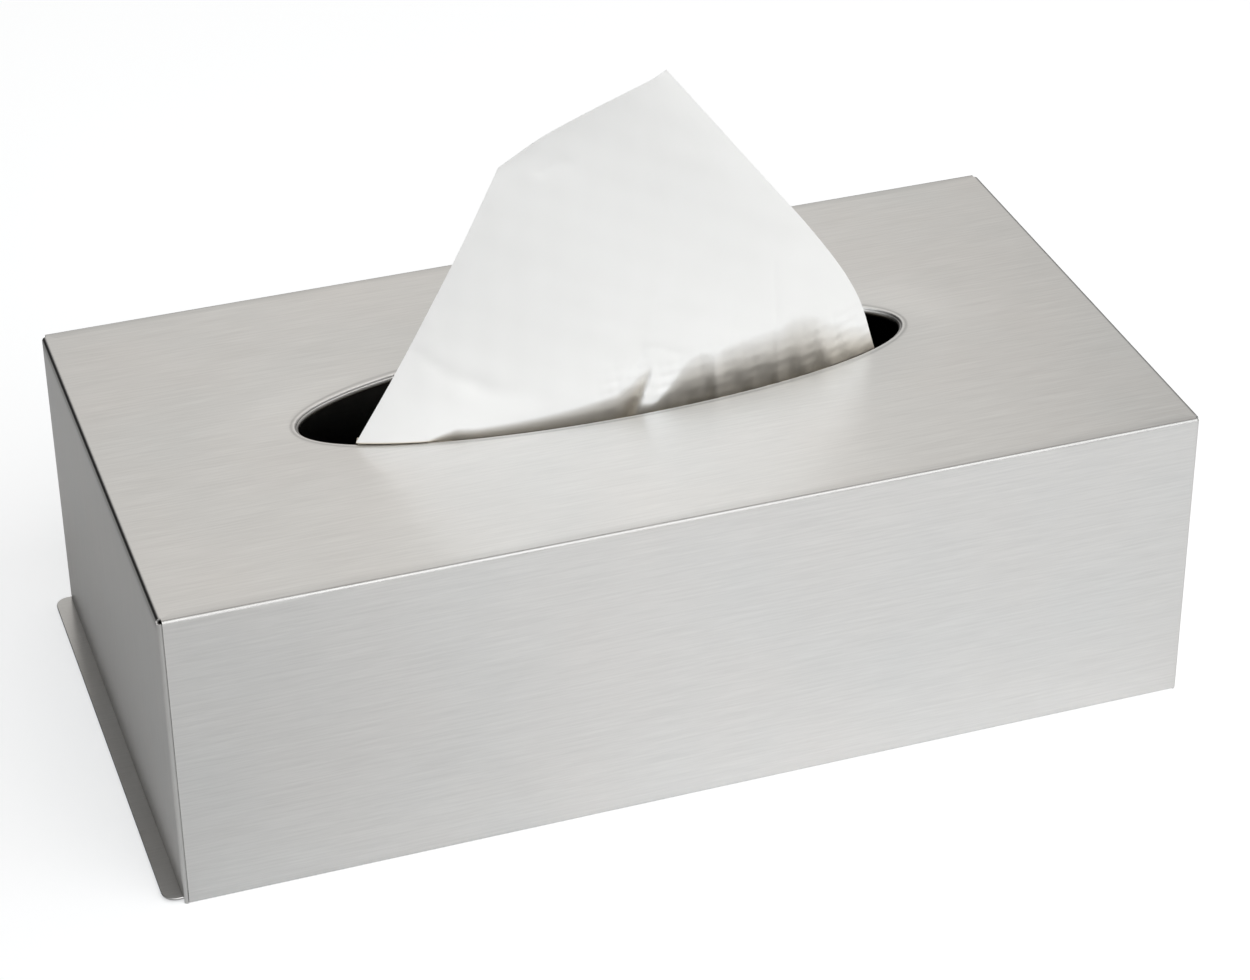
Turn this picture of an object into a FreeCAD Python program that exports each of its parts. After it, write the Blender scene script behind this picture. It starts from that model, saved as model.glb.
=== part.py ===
import FreeCAD, Part
import os
import Sketcher

# Brushed steel tissue box cover with a base plate that slides out, a half-used pack of
# tissues inside and one tissue standing pulled up through the slot.
#
# Millimetres. +Z is up, -Y is the front long wall, and the base plate is pulled out towards -X.
# The origin is on the surface that the box stands on, below the middle of its bounding box.

doc = FreeCAD.newDocument("tissue_box")

# Driving dimensions

DRIVING = {
    # The cover: one steel sheet, folded down on four sides
    "cover_length": 255,
    "cover_width": 135,
    "cover_height": 80,
    "sheet_gauge": 0.6,
    "bend_inner_radius": 0.3,
    # The long walls begin this far in from the end faces, with their raw edges showing
    "edge_setback": 1.1,
    # Gap between two layers of the sheet where one lies behind the other
    "seam_gap": 0.1,
    # The tabs of the end walls, folded behind the long walls
    "tab_length": 12,
    # The foot of each long wall leans in over this height, then folds into a return flange
    "foot_height": 4,
    "foot_inset": 0.5,
    "foot_radius": 25,
    "return_flange": 9,
    # The slot, an ellipse with its rim turned down, a little behind the middle of the top
    "slot_length": 155,
    "slot_width": 41.5,
    "slot_setback": 2,
    "rim_depth": 2.6,
    # The base plate: flat, on the return flanges, with a lip outside the -X end wall
    "plate_gauge": 0.6,
    "plate_clearance": 0.3,
    "lip_reach": 4.5,
    "lip_corner_radius": 3.5,
    "plate_corner_radius": 1.5,
    # The pack of interfolded tissues that is left in the box
    "pack_length": 210,
    "pack_width": 105,
    "pack_height": 30,
    "pack_corner_radius": 1.2,
    "clip_height": 3,
    "clip_groove": 0.8,
    "rest_clearance": 0.3,
    # The pulled tissue: its outline from the front, heights taken from the top of the cover
    "tissue_left": 62,
    "tissue_right": 68.5,
    "shoulder_left": 26.5,
    "shoulder_rise": 62.5,
    "apex_right": 15,
    "apex_rise": 80.5,
    "bulge_right": 53.5,
    "bulge_rise": 31,
    # Its depth at the slot, where it bows towards the front rim, and at the top corner
    "tissue_front": 6,
    "tissue_bow": 10.5,
    "tissue_depth": 5,
    "tissue_top_front": 5,
    "tissue_top_depth": 3,
    # Its lower half, bunched on the pack
    "bunch_front": 12.5,
    "bunch_depth": 17,
    "bunch_height": 14,
}

sizes = doc.addObject("Spreadsheet::Sheet", "Sizes")
for row, (alias, value) in enumerate(DRIVING.items(), start=1):
    sizes.set(f"A{row}", alias)
    sizes.set(f"B{row}", str(value))
    sizes.setAlias(f"B{row}", alias)
doc.recompute()

# Lengths that several pieces share, as expressions of the driving dimensions
HALF_LENGTH = "Sizes.cover_length / 2"
HALF_WIDTH = "Sizes.cover_width / 2"
TOP = "Sizes.cover_height"
GAUGE = "Sizes.sheet_gauge"
BEND = "(Sizes.bend_inner_radius + Sizes.sheet_gauge)"
LONG_WALL_END = f"({HALF_LENGTH} - Sizes.edge_setback)"
CORNER_END = f"({HALF_LENGTH} - Sizes.edge_setback + Sizes.seam_gap)"
FOLD_BOTTOM = f"({TOP} - Sizes.edge_setback)"
TAB_FACE = f"({HALF_WIDTH} - {GAUGE} - Sizes.seam_gap)"
PLATE_BOTTOM = f"({GAUGE} + Sizes.plate_clearance)"
PLATE_TOP = f"({PLATE_BOTTOM} + Sizes.plate_gauge)"
PLATE_MOUTH = f"({PLATE_TOP} + Sizes.plate_clearance)"
PLATE_HALF_WIDTH = f"({TAB_FACE} - {GAUGE} - Sizes.plate_clearance)"
PACK_BOTTOM = f"({PLATE_TOP} + Sizes.rest_clearance)"
PACK_TOP = f"({PACK_BOTTOM} + Sizes.pack_height)"
TISSUE_BOTTOM = f"({PACK_TOP} + Sizes.rest_clearance)"
# The lip makes the box longer at -X, so the cover stands this far towards +X
COVER_SHIFT = "Sizes.lip_reach / 2"


# Helpers

TOLERANCE = 1e-3


def number(expression):
    """The value of an expression of the sheet's cells."""
    return float(sizes.evalExpression(expression))


def new_body(name):
    """A body for one piece, standing at the cover's place."""
    body = doc.addObject("PartDesign::Body", name)
    body.Label = name
    body.setExpression("Placement.Base.x", COVER_SHIFT)
    return body


def new_sketch(body, name, role, offset="0"):
    """A sketch on one of the body's own origin planes, moved along its normal."""
    plane = next(item for item in body.Origin.OriginFeatures if item.Role == role)
    sketch = body.newObject("Sketcher::SketchObject", name)
    sketch.AttachmentSupport = [(plane, "")]
    sketch.MapMode = "FlatFace"
    sketch.setExpression("AttachmentOffset.Base.z", offset)
    return sketch


def pin_point(sketch, geometry, point, place):
    """Hold a point of the sketch at a place given by two expressions."""
    for kind, expression in zip(("DistanceX", "DistanceY"), place):
        constraint = Sketcher.Constraint(kind, -1, 1, geometry, point, number(expression))
        index = sketch.addConstraint(constraint)
        sketch.setExpression(f"Constraints[{index}]", expression)


def polygon(sketch, corners):
    """A closed outline of straight lines through corners given as pairs of expressions."""
    points = [FreeCAD.Vector(number(x), number(y), 0) for x, y in corners]
    first = sketch.GeometryCount
    count = len(points)
    for index in range(count):
        sketch.addGeometry(Part.LineSegment(points[index], points[(index + 1) % count]))
    for index in range(count):
        following = first + (index + 1) % count
        sketch.addConstraint(Sketcher.Constraint("Coincident", first + index, 2, following, 1))
        pin_point(sketch, first + index, 1, corners[index])


def ellipse(sketch, half_length, half_width, centre_y):
    """An ellipse along the sketch's X axis, its centre on the Y axis."""
    a, b, y = number(half_length), number(half_width), number(centre_y)
    centre = FreeCAD.Vector(0, y, 0)
    curve = Part.Ellipse(FreeCAD.Vector(a, y, 0), FreeCAD.Vector(0, y + b, 0), centre)
    index = sketch.addGeometry(curve)
    sketch.exposeInternalGeometry(index)
    major, minor = index + 1, index + 2
    sketch.addConstraint(Sketcher.Constraint("Horizontal", major))
    for line, half in ((major, half_length), (minor, half_width)):
        datum = sketch.addConstraint(Sketcher.Constraint("Distance", line, 2 * number(half)))
        sketch.setExpression(f"Constraints[{datum}]", f"2 * ({half})")
    pin_point(sketch, index, 3, ("0", centre_y))


def pad(body, sketch, length, midplane=False, backwards=False):
    """Thicken a sketch and add it to the body."""
    feature = body.newObject("PartDesign::Pad", sketch.Name + "Pad")
    feature.Profile = sketch
    feature.Midplane = midplane
    feature.Reversed = backwards
    feature.setExpression("Length", length)
    doc.recompute()
    return feature


def pocket(body, sketch, length, midplane=False, backwards=False):
    """Cut a sketch out of the body, and stop if nothing was cut."""
    before = body.Shape.Volume
    feature = body.newObject("PartDesign::Pocket", sketch.Name + "Cut")
    feature.Profile = sketch
    feature.Midplane = midplane
    feature.Reversed = backwards
    feature.setExpression("Length", length)
    doc.recompute()
    if body.Shape.Volume >= before - TOLERANCE:
        raise ValueError(f"{feature.Name} cuts nothing")
    return feature


def edges_at(feature, closed=False, **places):
    """Names of the edges that lie wholly at the given distances from the axes, on either side."""
    names = []
    for index, edge in enumerate(feature.Shape.Edges, start=1):
        box = edge.BoundBox
        spread = {"x": box.XLength, "y": box.YLength, "z": box.ZLength}
        middle = {"x": box.Center.x, "y": box.Center.y, "z": box.Center.z}
        off = [max(spread[axis], abs(abs(middle[axis]) - number(place))) for axis, place in places.items()]
        if max(off) < TOLERANCE and closed == (len(edge.Vertexes) == 1):
            names.append(f"Edge{index}")
    return names


def fillet(body, name, radius, closed=False, **places):
    """Round the edges at the given distances from the axes."""
    base = body.Tip
    feature = body.newObject("PartDesign::Fillet", name)
    feature.Base = (base, edges_at(base, closed, **places))
    feature.setExpression("Radius", radius)
    doc.recompute()
    return feature


# Cover: the top and the two long walls, one strip of sheet folded down at the front and back,
# with the foot of each wall leaning in a little before it folds into the return flange

cover = new_body("cover")

wall_outside = [
    (f"{HALF_WIDTH} - Sizes.foot_inset - Sizes.return_flange", GAUGE),
    (f"{HALF_WIDTH} - Sizes.foot_inset - Sizes.return_flange", "0"),
    (f"{HALF_WIDTH} - Sizes.foot_inset", "0"),
    (HALF_WIDTH, "Sizes.foot_height"),
    (HALF_WIDTH, TOP),
]
wall_inside = [
    (f"{HALF_WIDTH} - {GAUGE}", f"{TOP} - {GAUGE}"),
    (f"{HALF_WIDTH} - {GAUGE}", "Sizes.foot_height"),
    (f"{HALF_WIDTH} - Sizes.foot_inset - {GAUGE}", GAUGE),
]
strip = new_sketch(cover, "Strip", "YZ_Plane")
front_outside = [(f"-({out})", height) for out, height in wall_outside]
front_inside = [(f"-({out})", height) for out, height in wall_inside]
polygon(strip, front_outside + wall_outside[::-1] + wall_inside[::-1] + front_inside)
pad(cover, strip, f"2 * {LONG_WALL_END}", midplane=True)
fillet(cover, "LongFoldOutside", BEND, y=HALF_WIDTH, z=TOP)
fillet(cover, "LongFoldInside", "Sizes.bend_inner_radius",
       y=f"{HALF_WIDTH} - {GAUGE}", z=f"{TOP} - {GAUGE}")
fillet(cover, "FlangeFoldOutside", BEND, y=f"{HALF_WIDTH} - Sizes.foot_inset", z="0")
fillet(cover, "FlangeFoldInside", "Sizes.bend_inner_radius",
       y=f"{HALF_WIDTH} - Sizes.foot_inset - {GAUGE}", z=GAUGE)
fillet(cover, "FootOutside", "Sizes.foot_radius", y=HALF_WIDTH, z="Sizes.foot_height")
fillet(cover, "FootInside", f"Sizes.foot_radius - {GAUGE}",
       y=f"{HALF_WIDTH} - {GAUGE}", z="Sizes.foot_height")

# Cover: the end walls, folded down from the top. Their tabs turn in behind the long walls,
# and a small corner of the sheet is left out where the three folds would meet.

end_fold = new_sketch(cover, "EndFold", "XZ_Plane")
for side in ("", "-"):
    polygon(end_fold, [
        (f"{side}({LONG_WALL_END})", f"{TOP} - {GAUGE}"),
        (f"{side}({HALF_LENGTH} - {GAUGE})", f"{TOP} - {GAUGE}"),
        (f"{side}({HALF_LENGTH} - {GAUGE})", FOLD_BOTTOM),
        (f"{side}({HALF_LENGTH})", FOLD_BOTTOM),
        (f"{side}({HALF_LENGTH})", TOP),
        (f"{side}({LONG_WALL_END})", TOP),
    ])
pad(cover, end_fold, f"2 * ({TAB_FACE} - Sizes.edge_setback)", midplane=True)

end_wall = new_sketch(cover, "EndWall", "XY_Plane")
for side in ("", "-"):
    polygon(end_wall, [
        (f"{side}({HALF_LENGTH})", f"-{TAB_FACE}"),
        (f"{side}({HALF_LENGTH})", TAB_FACE),
        (f"{side}{CORNER_END}", TAB_FACE),
        (f"{side}{CORNER_END}", f"{TAB_FACE} - {GAUGE}"),
        (f"{side}({HALF_LENGTH} - {GAUGE})", f"{TAB_FACE} - {GAUGE}"),
        (f"{side}({HALF_LENGTH} - {GAUGE})", f"{GAUGE} - {TAB_FACE}"),
        (f"{side}{CORNER_END}", f"{GAUGE} - {TAB_FACE}"),
        (f"{side}{CORNER_END}", f"-{TAB_FACE}"),
    ])
pad(cover, end_wall, FOLD_BOTTOM)

tab = new_sketch(cover, "Tab", "XY_Plane", "Sizes.foot_height + Sizes.seam_gap")
for side in ("", "-"):
    for face in ("", "-"):
        polygon(tab, [
            (f"{side}{CORNER_END}", f"{face}{TAB_FACE}"),
            (f"{side}({HALF_LENGTH} - Sizes.tab_length)", f"{face}{TAB_FACE}"),
            (f"{side}({HALF_LENGTH} - Sizes.tab_length)", f"{face}({TAB_FACE} - {GAUGE})"),
            (f"{side}{CORNER_END}", f"{face}({TAB_FACE} - {GAUGE})"),
        ])
pad(cover, tab, f"{FOLD_BOTTOM} - Sizes.foot_height - Sizes.seam_gap")
fillet(cover, "EndFoldOutside", BEND, x=HALF_LENGTH, z=TOP)
fillet(cover, "EndFoldInside", "Sizes.bend_inner_radius",
       x=f"{HALF_LENGTH} - {GAUGE}", z=f"{TOP} - {GAUGE}")
fillet(cover, "CornerOutside", BEND, x=HALF_LENGTH, y=TAB_FACE)
fillet(cover, "CornerInside", "Sizes.bend_inner_radius",
       x=f"{HALF_LENGTH} - {GAUGE}", y=f"{TAB_FACE} - {GAUGE}")

# Cover: the mouth for the base plate, cut from the foot of the -X end wall. The folded corners
# stay as two narrow legs beside it.

mouth = new_sketch(cover, "Mouth", "YZ_Plane", f"-({HALF_LENGTH})")
polygon(mouth, [
    (f"{GAUGE} - {TAB_FACE}", "0"),
    (f"{TAB_FACE} - {GAUGE}", "0"),
    (f"{TAB_FACE} - {GAUGE}", PLATE_MOUTH),
    (f"{GAUGE} - {TAB_FACE}", PLATE_MOUTH),
])
pocket(cover, mouth, "Sizes.edge_setback", backwards=True)

# Cover: the slot. The rim is turned down all round and rolled at the top.

plug = new_sketch(cover, "RimPlug", "XY_Plane", TOP)
ellipse(plug, f"Sizes.slot_length / 2 + {GAUGE}", f"Sizes.slot_width / 2 + {GAUGE}", "Sizes.slot_setback")
pad(cover, plug, "Sizes.rim_depth", backwards=True)
slot = new_sketch(cover, "Slot", "XY_Plane", TOP)
ellipse(slot, "Sizes.slot_length / 2", "Sizes.slot_width / 2", "Sizes.slot_setback")
pocket(cover, slot, "2 * Sizes.rim_depth")
fillet(cover, "RimOutside", BEND, closed=True, z=TOP)
fillet(cover, "RimInside", "Sizes.bend_inner_radius", closed=True, z=f"{TOP} - {GAUGE}")

# Base plate: a flat sheet that lies on the return flanges and slides out through the mouth.
# Its lip stands out beyond the end wall, to be gripped.

base_plate = new_body("base_plate")
plate_outline = new_sketch(base_plate, "PlateOutline", "XY_Plane", PLATE_BOTTOM)
LIP_END = f"({HALF_LENGTH} + Sizes.lip_reach)"
PLATE_END = f"({HALF_LENGTH} - {GAUGE} - Sizes.plate_clearance)"
polygon(plate_outline, [
    (f"-{LIP_END}", f"-{PLATE_HALF_WIDTH}"),
    (PLATE_END, f"-{PLATE_HALF_WIDTH}"),
    (PLATE_END, PLATE_HALF_WIDTH),
    (f"-{LIP_END}", PLATE_HALF_WIDTH),
])
pad(base_plate, plate_outline, "Sizes.plate_gauge")
fillet(base_plate, "LipCorners", "Sizes.lip_corner_radius", x=LIP_END, y=PLATE_HALF_WIDTH)
fillet(base_plate, "PlateCorners", "Sizes.plate_corner_radius", x=PLATE_END, y=PLATE_HALF_WIDTH)

# Pack of tissues: one block of interfolded sheets, with a shallow groove along each long side
# between one folded clip and the next

tissue_stack = new_body("tissue_stack")
block = new_sketch(tissue_stack, "Block", "XY_Plane", PACK_BOTTOM)
polygon(block, [
    ("-Sizes.pack_length / 2", "-Sizes.pack_width / 2"),
    ("Sizes.pack_length / 2", "-Sizes.pack_width / 2"),
    ("Sizes.pack_length / 2", "Sizes.pack_width / 2"),
    ("-Sizes.pack_length / 2", "Sizes.pack_width / 2"),
])
pad(tissue_stack, block, "Sizes.pack_height")
fillet(tissue_stack, "BlockCorners", "Sizes.pack_corner_radius",
       x="Sizes.pack_length / 2", y="Sizes.pack_width / 2")
groove = new_sketch(tissue_stack, "Groove", "YZ_Plane")
GROOVE_FACE = "Sizes.pack_width / 2"
GROOVE_HEIGHT = f"{PACK_BOTTOM} + Sizes.clip_height"
for side in ("", "-"):
    polygon(groove, [
        (f"{side}({GROOVE_FACE} - Sizes.clip_groove)", GROOVE_HEIGHT),
        (f"{side}({GROOVE_FACE})", f"{GROOVE_HEIGHT} - Sizes.clip_groove / 2"),
        (f"{side}({GROOVE_FACE})", f"{GROOVE_HEIGHT} + Sizes.clip_groove / 2"),
    ])
first_groove = pocket(tissue_stack, groove, "Sizes.pack_length", midplane=True)
clips = tissue_stack.newObject("PartDesign::LinearPattern", "Clips")
clips.Originals = [first_groove]
clips.Direction = (groove, ["V_Axis"])
CLIP_COUNT = int(number("Sizes.pack_height / Sizes.clip_height")) - 1
clips.Occurrences = CLIP_COUNT
clips.setExpression("Length", f"Sizes.clip_height * {CLIP_COUNT - 1}")
tissue_stack.Tip = clips
doc.recompute()

# Pulled tissue: a soft upright sheet with a folded left edge and one corner at the top. It is
# bunched on the pack, bows along the slot's front rim and flattens towards its top corner.


def upright_outline(name, corners, length):
    """A prism of an outline drawn on the upright plane along X, the same on both sides of it."""
    sketch = doc.addObject("Sketcher::SketchObject", name)
    sketch.Placement.Rotation = FreeCAD.Rotation(FreeCAD.Vector(1, 0, 0), 90)
    sketch.setExpression("Placement.Base.x", COVER_SHIFT)
    polygon(sketch, corners)
    prism = doc.addObject("Part::Extrusion", name + "Prism")
    prism.Base = sketch
    prism.DirMode = "Normal"
    prism.Solid = True
    prism.Symmetric = True
    prism.setExpression("LengthFwd", length)
    return prism


def level_section(name, height, front, depth, bow=None):
    """The tissue's section at a height: as wide as the tissue, with both long sides bowed forward."""
    sketch = doc.addObject("Sketcher::SketchObject", name)
    sketch.setExpression("Placement.Base.x", COVER_SHIFT)
    sketch.setExpression("Placement.Base.z", height)
    left, right = "-Sizes.tissue_left", "Sizes.tissue_right"
    face, rear = f"-{front}", f"{depth} - {front}"
    polygon(sketch, [(left, face), (right, face), (right, rear), (left, rear)])
    if bow:
        bow_side(sketch, 0, (left, face), (right, face), bow)
        bow_side(sketch, 2, (left, rear), (right, rear), bow)
    return sketch


def bow_side(sketch, side, left_end, right_end, bow):
    """Replace a level side of the outline with an arc that bows towards -Y by the given height."""
    start = FreeCAD.Vector(number(left_end[0]), number(left_end[1]), 0)
    end = FreeCAD.Vector(number(right_end[0]), number(right_end[1]), 0)
    middle = (start + end) / 2 - FreeCAD.Vector(0, number(bow), 0)
    sketch.setConstruction(side, True)
    arc = sketch.addGeometry(Part.Arc(start, middle, end))
    left_point, right_point = (1, 2) if side == 0 else (2, 1)
    sketch.addConstraint(Sketcher.Constraint("Coincident", arc, 1, side, left_point))
    sketch.addConstraint(Sketcher.Constraint("Coincident", arc, 2, side, right_point))
    radius = f"((Sizes.tissue_right + Sizes.tissue_left)^2 / 4 + ({bow})^2) / (2 * ({bow}))"
    index = sketch.addConstraint(Sketcher.Constraint("Radius", arc, number(radius)))
    sketch.setExpression(f"Constraints[{index}]", radius)


APEX = f"{TOP} + Sizes.apex_rise"
front_view = upright_outline("TissueFront", [
    ("-Sizes.tissue_left", TISSUE_BOTTOM),
    ("Sizes.tissue_right", TISSUE_BOTTOM),
    ("Sizes.tissue_right", TOP),
    ("Sizes.bulge_right", f"{TOP} + Sizes.bulge_rise"),
    ("Sizes.apex_right", APEX),
    ("-Sizes.shoulder_left", f"{TOP} + Sizes.shoulder_rise"),
    ("-Sizes.tissue_left", TOP),
], "Sizes.slot_width")
swell = doc.addObject("Part::Loft", "TissueSwell")
swell.Sections = [
    level_section("BunchFoot", TISSUE_BOTTOM, "Sizes.bunch_front", "Sizes.bunch_depth"),
    level_section("BunchTop", f"{TISSUE_BOTTOM} + Sizes.bunch_height",
                  "Sizes.bunch_front", "Sizes.bunch_depth"),
    level_section("TissueAtSlot", TOP, "Sizes.tissue_front", "Sizes.tissue_depth", "Sizes.tissue_bow"),
    level_section("TissueAtApex", APEX, "Sizes.tissue_top_front", "Sizes.tissue_top_depth"),
]
swell.Solid = True
swell.Ruled = True
pulled_tissue = doc.addObject("Part::MultiCommon", "pulled_tissue")
pulled_tissue.Label = "pulled_tissue"
pulled_tissue.Shapes = [front_view, swell]
doc.recompute()

# Checks before anything is written

for item in doc.Objects:
    if "Invalid" in item.State or "Error" in item.State:
        raise RuntimeError(f"{item.Name}: {item.getStatusString()}")

PIECES = [cover, base_plate, tissue_stack, pulled_tissue]
for piece in PIECES:
    if piece.Shape.isNull() or not piece.Shape.isValid() or len(piece.Shape.Solids) != 1:
        raise RuntimeError(f"{piece.Label} is not one valid solid")

os.makedirs("parts", exist_ok=True)
for piece in PIECES:
    piece.Shape.exportStep(f"parts/{piece.Label}.step")
    box = piece.Shape.BoundBox
    spans = [(box.XMin, box.XMax), (box.YMin, box.YMax), (box.ZMin, box.ZMax)]
    print(piece.Label, [[round(end, 2) for end in span] for span in spans],
          "volume", round(piece.Shape.Volume / 1000, 2), "cm3")
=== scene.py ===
import math

import bpy
import numpy as np
from mathutils import Matrix, Vector


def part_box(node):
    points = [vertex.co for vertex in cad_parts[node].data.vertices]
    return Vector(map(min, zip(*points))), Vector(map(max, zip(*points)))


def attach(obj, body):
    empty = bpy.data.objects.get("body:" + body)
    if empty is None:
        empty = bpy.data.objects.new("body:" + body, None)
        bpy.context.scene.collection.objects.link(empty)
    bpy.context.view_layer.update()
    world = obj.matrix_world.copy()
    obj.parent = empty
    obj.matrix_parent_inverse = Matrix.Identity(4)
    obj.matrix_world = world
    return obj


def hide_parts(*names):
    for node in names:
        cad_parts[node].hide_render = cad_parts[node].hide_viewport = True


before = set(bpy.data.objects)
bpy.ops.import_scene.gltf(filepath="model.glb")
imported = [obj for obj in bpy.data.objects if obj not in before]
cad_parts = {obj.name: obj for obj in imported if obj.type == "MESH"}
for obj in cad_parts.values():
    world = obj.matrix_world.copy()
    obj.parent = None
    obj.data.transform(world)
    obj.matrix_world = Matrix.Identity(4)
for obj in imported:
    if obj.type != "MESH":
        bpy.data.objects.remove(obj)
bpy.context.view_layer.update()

# Cover
# One sheet of stainless steel, brushed along its length, then cut and folded down on four sides.
# The end walls' tabs turn in behind the long walls, the long walls' feet lean in and fold under,
# and the rim of the oval slot is rolled down. Welded nowhere: it is all one piece.

MM = 0.001
cover_low, cover_high = (np.array(corner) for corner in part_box("cover"))
MIDDLE_X = (cover_low[0] + cover_high[0]) / 2
HALF_LENGTH, HALF_WIDTH, TOP = (cover_high - np.array([MIDDLE_X, 0, 0])).tolist()
GAUGE = 0.6 * MM
BEND = 0.9 * MM
SETBACK = 1.1 * MM
SEAM_GAP = 0.1 * MM
TAB_LENGTH = 12 * MM
FOOT_HEIGHT = 4 * MM
FOOT_INSET = 0.5 * MM
RETURN_FLANGE = 9 * MM
MOUTH_HEIGHT = 1.8 * MM
SLOT_HALF_LENGTH = 77.5 * MM
SLOT_HALF_WIDTH = 20.75 * MM
SLOT_BACK = 2 * MM
RIM_PROFILE = np.array([
    # Outwards from the slot's edge and down from the top's face, at the middle of the sheet
    (1.15, 0.30), (1.00, 0.33), (0.89, 0.42), (0.82, 0.55), (0.75, 0.67), (0.64, 0.74), (0.53, 0.78),
    (0.44, 0.86), (0.37, 0.98), (0.32, 1.14), (0.30, 1.34), (0.30, 1.60),
]) * MM
MID = GAUGE / 2
MID_BEND = BEND - MID
LONG_WALL_END = HALF_LENGTH - SETBACK
PANEL_HALF_WIDTH = HALF_WIDTH - BEND
TAB_FACE = HALF_WIDTH - GAUGE - SEAM_GAP
FOLD_HALF_WIDTH = TAB_FACE - SETBACK
FOLD_BOTTOM = TOP - SETBACK
QUARTER = np.linspace(0, math.pi / 2, 8)
DIP_REACH = 11 * MM
WALL_COLUMNS, FOLD_COLUMNS, PANEL_ROWS, WALL_ROWS, END_ROWS = 111, 57, 30, 36, 26
CRISP_ANGLE = 50


def blend_in(t):
    """A smooth step: 3t^2 - 2t^3, with t held between 0 and 1."""
    t = np.clip(t, 0, 1)
    return t * t * (3 - 2 * t)


def bell(value, middle, spread):
    """A bell curve: e to the power of -((value - middle) / spread)^2."""
    return np.exp(-((value - middle) / spread) ** 2)


def across(*parts):
    """One row of samples from several, without the points that two neighbours share."""
    return np.unique(np.round(np.concatenate(parts), 9))


def slot_edge(turn, out):
    """The point of the slot's ellipse at an angle, moved outwards along its normal."""
    x = SLOT_HALF_LENGTH * np.cos(turn)
    y = SLOT_HALF_WIDTH * np.sin(turn)
    nx = SLOT_HALF_WIDTH * np.cos(turn)
    ny = SLOT_HALF_LENGTH * np.sin(turn)
    size = np.hypot(nx, ny)
    return x + out * nx / size, SLOT_BACK + y + out * ny / size


def slot_dip(turn, distance):
    """How far the top is pressed down near the slot: a bell curve of the distance, deeper at the ends."""
    depth = (0.16 + 0.3 * np.cos(turn) ** 4) * MM
    return depth * bell(distance, 0, DIP_REACH)


def panel_sag(x, y):
    """The top's own slackness: a shallow wave, nothing at the folds."""
    hold = (1 - (x / LONG_WALL_END) ** 2) * (1 - (y / PANEL_HALF_WIDTH) ** 2)
    return hold * (0.3 + 0.12 * np.sin(x * 38 + 0.6) + 0.1 * np.sin(y * 70 + x * 25)) * MM


def wall_sag(along, height):
    """The same in a long wall: held at its top, foot and ends, pressed in a little between."""
    hold = (1 - (along / LONG_WALL_END) ** 2) * np.sin(math.pi * np.clip(height / TOP, 0, 1)) ** 2
    return hold * (0.25 + 0.16 * np.sin(along * 31 + 1.2) + 0.07 * np.sin(along * 74 + height * 50)) * MM


def points_of(x, y, z):
    """Three arrays of one shape as one array of points."""
    return np.stack(np.broadcast_arrays(x, y, z), axis=-1)


def panel_patch(wall_x, fold_y):
    """The top round the slot: straight rays from the rim's roll to the four folds."""
    edge_y = across([-PANEL_HALF_WIDTH], fold_y, [PANEL_HALF_WIDTH])
    side = np.ones(len(edge_y) - 1)
    run = np.ones(len(wall_x) - 1)
    x = np.concatenate([wall_x[:-1], side * LONG_WALL_END, -wall_x[:-1], -side * LONG_WALL_END])
    y = np.concatenate([-run * PANEL_HALF_WIDTH, edge_y[:-1], run * PANEL_HALF_WIDTH, -edge_y[:-1]])
    turn = np.arctan2(y / PANEL_HALF_WIDTH, x / LONG_WALL_END)
    start_x, start_y = slot_edge(turn, RIM_PROFILE[0, 0])
    share = (np.linspace(0, 1, PANEL_ROWS) ** 1.6)[:, None]
    px, py = start_x + (x - start_x) * share, start_y + (y - start_y) * share
    dip = slot_dip(turn, np.hypot(px - start_x, py - start_y))
    fade = 1 - share ** 4
    pz = TOP - MID - dip * fade - panel_sag(px, py) * blend_in(share * 1.2)
    return points_of(px, py, pz), points_of(px, py, 0)[..., :2], turn


def rim_patch(turn):
    """The slot's rim: pressed down in two small rolls with a narrow ledge between, to the raw edge."""
    out, down = (column[:, None] for column in RIM_PROFILE.T)
    x, y = slot_edge(turn, out)
    flat_x, flat_y = slot_edge(turn, out - down)
    points = points_of(x, y, TOP - down - slot_dip(turn, 0))
    return points[::-1], points_of(flat_x, flat_y, 0)[::-1, :, :2]


def long_wall_path():
    """Half width and height down a long wall, from the top's edge to the end of the return flange."""
    centre_y, centre_z = HALF_WIDTH - BEND, TOP - BEND
    y = [centre_y + MID_BEND * np.sin(QUARTER)]
    z = [centre_z + MID_BEND * np.cos(QUARTER)]
    height = np.linspace(centre_z, BEND, WALL_ROWS)[1:]
    lean_start = FOOT_HEIGHT + 1 * MM
    lean = FOOT_INSET * blend_in((lean_start - height) / lean_start) ** 0.8
    y.append(HALF_WIDTH - MID - lean)
    z.append(height)
    foot_y = HALF_WIDTH - MID - lean[-1]
    y.append(foot_y - MID_BEND + MID_BEND * np.cos(QUARTER[1:]))
    z.append(BEND - MID_BEND * np.sin(QUARTER[1:]))
    flange = np.linspace(foot_y - MID_BEND, HALF_WIDTH - FOOT_INSET - RETURN_FLANGE, 5)[1:]
    y.append(flange)
    z.append(np.full(4, MID))
    return np.concatenate(y), np.concatenate(z)


def long_wall_patch(wall_x, side):
    """A long wall: that path, carried along X, with its sag pressed in."""
    y, z = (row[:, None] for row in long_wall_path())
    steps = np.hypot(np.diff(y, axis=0), np.diff(z, axis=0))
    down = np.concatenate([[[0]], np.cumsum(steps, axis=0)])
    on_wall = blend_in((z - 2 * BEND) / (5 * MM))
    y = y - wall_sag(wall_x, z) * on_wall
    flat = points_of(wall_x, side * (PANEL_HALF_WIDTH + down), 0)[..., :2]
    return points_of(wall_x, side * y, z), flat


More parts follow.
